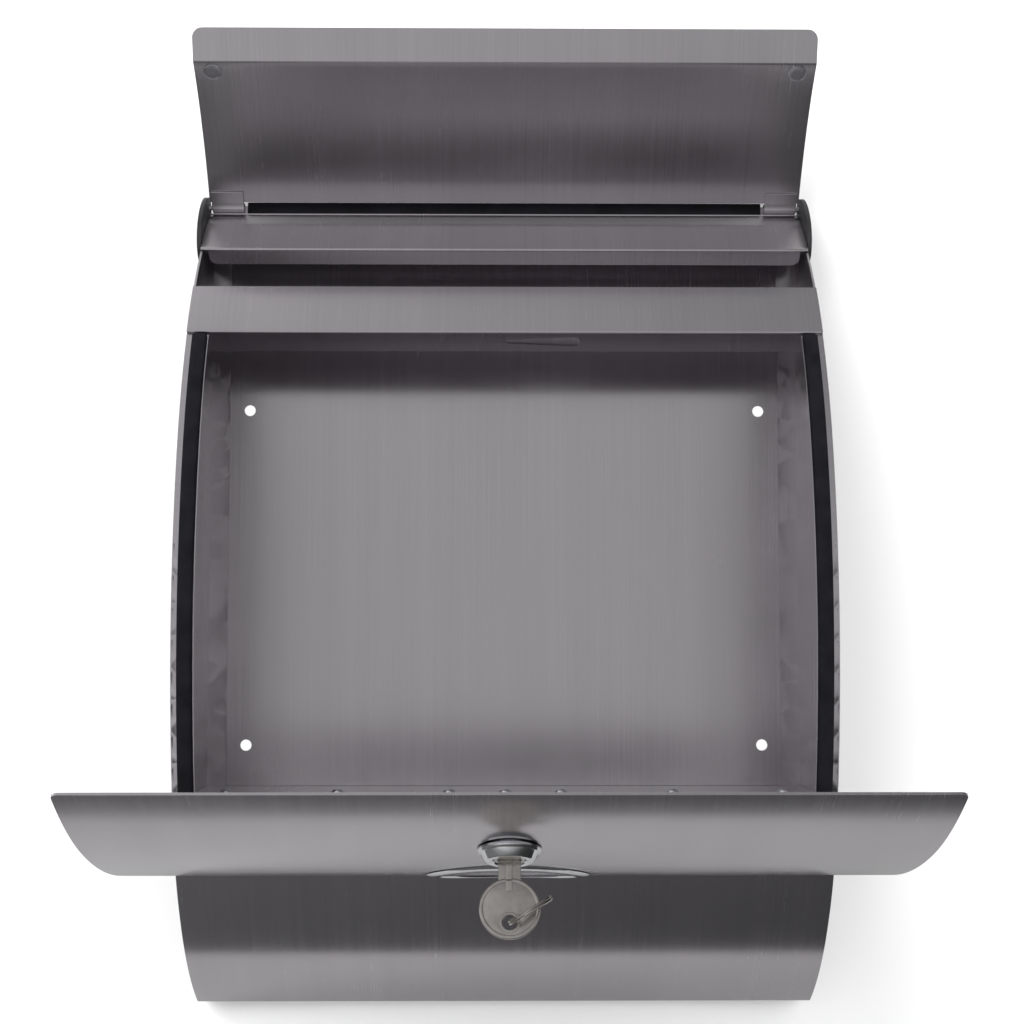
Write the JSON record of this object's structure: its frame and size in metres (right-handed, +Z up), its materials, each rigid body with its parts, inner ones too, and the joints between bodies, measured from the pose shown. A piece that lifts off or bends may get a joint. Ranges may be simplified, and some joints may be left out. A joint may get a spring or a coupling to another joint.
{
  "type": "wall mounted mailbox",
  "caption": "Curved brushed steel wall mailbox with a hinged letter flap on top, a lockable front door hinged below and an open-ended newspaper tube under it.",
  "frame": {"origin": "point on the rear face of the back panel, on its centre line, between the four fixing holes", "axes": "+X to the right of someone facing the box, +Y into the wall, +Z up; the front faces -Y"},
  "size_m": [0.313, 0.3314, 0.4761],
  "materials": {
    "stainless": "brushed stainless sheet, grain running up and down, satin",
    "rubber": "black foam rubber strip, matt",
    "rivet_aluminium": "bright domed blind rivet",
    "black_plastic": "moulded black plastic, fine texture",
    "zinc_steel": "zinc plated steel, slightly dull",
    "clear_plastic": "soft clear bumper dot",
    "window_plastic": "smoked clear sight pane",
    "chrome": "polished chrome plate",
    "nickel": "nickel plated, lightly worn"
  },
  "bodies": {
    "body": {"back_panel": "stainless", "side_plate_left": "stainless", "side_plate_right": "stainless", "door_gasket_left": "rubber", "door_gasket_right": "rubber", "top_seal": "rubber", "upper_rail": "stainless", "lower_rail": "stainless", "shelf": "stainless", "newspaper_holder": "stainless", "shelf_rivet_1": "rivet_aluminium", "shelf_rivet_2": "rivet_aluminium", "shelf_rivet_3": "rivet_aluminium", "shelf_rivet_4": "rivet_aluminium", "shelf_rivet_5": "rivet_aluminium", "shelf_rivet_6": "rivet_aluminium", "shelf_rivet_7": "rivet_aluminium", "hinge_cheek_left": "black_plastic", "hinge_cheek_right": "black_plastic", "cheek_rivet_left": "rivet_aluminium", "cheek_rivet_right": "rivet_aluminium", "flap_pin_left": "zinc_steel", "flap_pin_right": "zinc_steel", "door_hinge_rod": "zinc_steel"},
    "flap": {"flap": "stainless", "flap_knuckle_left": "stainless", "flap_knuckle_right": "stainless", "flap_bumper_left": "clear_plastic", "flap_bumper_right": "clear_plastic"},
    "door": {"door": "stainless", "window_bezel": "chrome", "window_pane": "window_plastic", "window_retainer": "black_plastic", "lock_housing": "chrome", "lock_nut": "zinc_steel"},
    "lock_core": {"lock_plug": "nickel", "cam": "zinc_steel", "cam_screw": "zinc_steel"},
    "key": {"key": "nickel"},
    "key_ring": {"key_ring": "nickel"}
  },
  "joints": [
    {"name": "flap_hinge", "type": "hinge", "parent": "body", "child": "flap", "pos_m": [0, -0.013, 0.2026], "axis": [1, 0, 0], "range_deg": [0, 88.9]},
    {"name": "door_hinge", "type": "hinge", "parent": "body", "child": "door", "pos_m": [0, -0.09757, -0.10951], "axis": [-1, 0, 0], "range_deg": [0, 86.3]},
    {"name": "lock_turn", "type": "hinge", "parent": "door", "child": "lock_core", "pos_m": [0, -0.28719, -0.09735], "axis": [0, -0.3489, -0.9372], "range_deg": [0, 90]},
    {"name": "key_slide", "type": "slide", "parent": "lock_core", "child": "key", "axis": [0, -0.3489, -0.9372], "range_m": [0, 0.02]},
    {"name": "ring_swing", "type": "hinge", "parent": "key", "child": "key_ring", "pos_m": [0, -0.29714, -0.12406], "axis": [0, 0.9372, -0.3489], "range_deg": [0, 240]}
  ]
}
